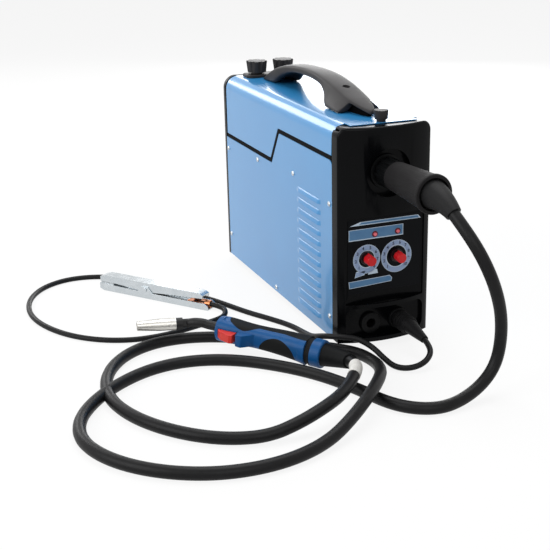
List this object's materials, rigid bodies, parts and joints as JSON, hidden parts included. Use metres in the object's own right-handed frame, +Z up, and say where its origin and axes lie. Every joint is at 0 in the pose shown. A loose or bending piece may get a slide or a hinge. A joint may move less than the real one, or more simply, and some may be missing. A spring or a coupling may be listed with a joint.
{
  "type": "portable mig welder with torch and earth clamp",
  "caption": "Portable inverter MIG welder in a slim sheet-metal casing with a hinged lid, wire feed, carry handle, torch on a coiled hose and an earth lead with clamp.",
  "frame": {"origin": "on the floor under the middle of the casing, at the centre of the four feet", "axes": "+Z up, front panel faces -Y, +X to the right of someone who faces the front"},
  "size_m": [0.5359, 0.7564, 0.3553],
  "materials": {
    "blue_paint": "gloss",
    "black_plastic": "fine texture",
    "black_paint": "satin",
    "black_rubber": "matt",
    "red_plastic": "gloss",
    "blue_plastic": "satin",
    "zinc_steel": "zinc plated",
    "chrome_nozzle": "polished",
    "brass": "turned",
    "copper": "drawn",
    "label_film": "printed film",
    "aluminium": "extruded",
    "ferrite": "sintered",
    "circuit_board": "lacquered",
    "spool_plastic": "moulded",
    "galvanised": "galvanised"
  },
  "bodies": {
    "casing": {"base_tray": "black_paint", "rubber_feet": "black_rubber", "side_panel_left": "blue_paint", "side_panel_right": "blue_paint", "front_bezel": "black_plastic", "control_label": "label_film", "led_lenses": "red_plastic", "current_sockets": "black_plastic", "euro_socket": "brass", "rear_panel": "black_plastic", "switch_body": "black_plastic", "cable_gland": "black_plastic", "gas_fittings": "brass", "fan_frame": "black_plastic", "casing_screws": "zinc_steel", "hinge_fixed_leaf": "zinc_steel", "centre_wall": "galvanised", "spool_hub": "black_plastic", "feed_motor": "zinc_steel", "feed_plate": "black_plastic", "heatsink": "aluminium", "choke_and_transformer": "ferrite", "power_board": "circuit_board", "control_board": "circuit_board", "plug_sleeve": "black_rubber", "hose_relief": "black_rubber", "torch_hose": "black_rubber", "torch_boot": "black_rubber", "torch_handle": "blue_plastic", "torch_grip": "black_rubber", "torch_neck": "black_plastic", "torch_nozzle": "chrome_nozzle", "contact_tip": "copper", "earth_plug": "black_rubber", "earth_cable": "black_rubber", "clamp_lower_arm": "galvanised", "clamp_pivot": "zinc_steel", "clamp_lug": "copper"},
    "lid": {"lid": "blue_paint", "lid_edge_seal": "black_rubber", "hinge_lid_leaf": "zinc_steel", "carry_handle": "black_plastic", "handle_screws": "zinc_steel", "knob_bracket": "black_plastic"},
    "thumb_screw": {"thumb_screw": "black_plastic"},
    "hand_knob_left": {"hand_knob_left": "black_plastic"},
    "hand_knob_right": {"hand_knob_right": "black_plastic"},
    "power_knob": {"power_knob": "red_plastic"},
    "wire_speed_knob": {"wire_speed_knob": "red_plastic"},
    "rocker": {"switch_rocker": "red_plastic"},
    "fan": {"fan_rotor": "black_plastic"},
    "spool": {"wire_spool": "spool_plastic", "wire_coil": "copper"},
    "drive_roll": {"drive_roll": "zinc_steel"},
    "pressure_arm": {"pressure_arm": "zinc_steel"},
    "pressure_roll": {"pressure_roll": "zinc_steel"},
    "tension_knob": {"tension_knob": "black_plastic"},
    "plug_nut": {"euro_plug_nut": "black_plastic"},
    "trigger": {"torch_trigger": "red_plastic"},
    "clamp_arm": {"clamp_upper_arm": "galvanised"}
  },
  "joints": [
    {"name": "lid_hinge", "type": "hinge", "parent": "casing", "child": "lid", "pos_m": [0, 0.2144, 0.3122], "axis": [-1, 0, 0], "range_deg": [0, 75]},
    {"name": "thumb_screw_turn", "type": "hinge", "parent": "lid", "child": "thumb_screw", "pos_m": [0, -0.213, 0.3153], "axis": [0, 0, 1], "range_deg": [0, 720]},
    {"name": "hand_knob_left_turn", "type": "hinge", "parent": "lid", "child": "hand_knob_left", "pos_m": [-0.023, 0.192, 0.3227], "axis": [0, 0, 1], "range_deg": [0, 720]},
    {"name": "hand_knob_right_turn", "type": "hinge", "parent": "lid", "child": "hand_knob_right", "pos_m": [0.023, 0.192, 0.3227], "axis": [0, 0, 1], "range_deg": [0, 720]},
    {"name": "power_knob_turn", "type": "hinge", "parent": "casing", "child": "power_knob", "pos_m": [-0.0285, -0.23, 0.131], "axis": [0, -1, 0], "range_deg": [-135, 135]},
    {"name": "wire_speed_knob_turn", "type": "hinge", "parent": "casing", "child": "wire_speed_knob", "pos_m": [0.0175, -0.23, 0.129], "axis": [0, -1, 0], "range_deg": [-135, 135]},
    {"name": "rocker_tilt", "type": "hinge", "parent": "casing", "child": "rocker", "pos_m": [0.026, 0.218, 0.262], "axis": [1, 0, 0], "range_deg": [0, 14]},
    {"name": "fan_spin", "type": "hinge", "parent": "casing", "child": "fan", "pos_m": [0, 0.2047, 0.064], "axis": [0, 1, 0], "continuous": true},
    {"name": "spool_spin", "type": "hinge", "parent": "casing", "child": "spool", "pos_m": [-0.017, 0.092, 0.192], "axis": [1, 0, 0], "continuous": true},
    {"name": "drive_roll_spin", "type": "hinge", "parent": "casing", "child": "drive_roll", "pos_m": [0, -0.13, 0.2344], "axis": [1, 0, 0], "continuous": true},
    {"name": "pressure_arm_lift", "type": "hinge", "parent": "casing", "child": "pressure_arm", "pos_m": [0.008, -0.096, 0.269], "axis": [-1, 0, 0], "range_deg": [0, 15]},
    {"name": "pressure_roll_spin", "type": "hinge", "parent": "pressure_arm", "child": "pressure_roll", "pos_m": [0, -0.13, 0.2656], "axis": [1, 0, 0], "continuous": true},
    {"name": "tension_knob_turn", "type": "hinge", "parent": "pressure_arm", "child": "tension_knob", "pos_m": [0.001, -0.168, 0.274], "axis": [0, 0, 1], "range_deg": [0, 720]},
    {"name": "plug_nut_turn", "type": "hinge", "parent": "casing", "child": "plug_nut", "pos_m": [0, -0.248, 0.25], "axis": [0, 1, 0], "range_deg": [0, 540]},
    {"name": "trigger_pull", "type": "hinge", "parent": "casing", "child": "trigger", "pos_m": [-0.21769, -0.16325, 0.02941], "axis": [0.0395, -0.0484, 0.998], "range_deg": [0, 5], "stiffness_Nm_per_rad": 0.05, "springref_deg": -2.86},
    {"name": "clamp_open", "type": "hinge", "parent": "casing", "child": "clamp_arm", "pos_m": [-0.24953, 0.09585, 0.014], "axis": [0.7953, 0.6062, 0], "range_deg": [0, 7], "stiffness_Nm_per_rad": 2, "springref_deg": -17.19}
  ],
  "couplings": [
    {"joint": "pressure_roll_spin", "follows": "drive_roll_spin", "ratio": -1}
  ]
}
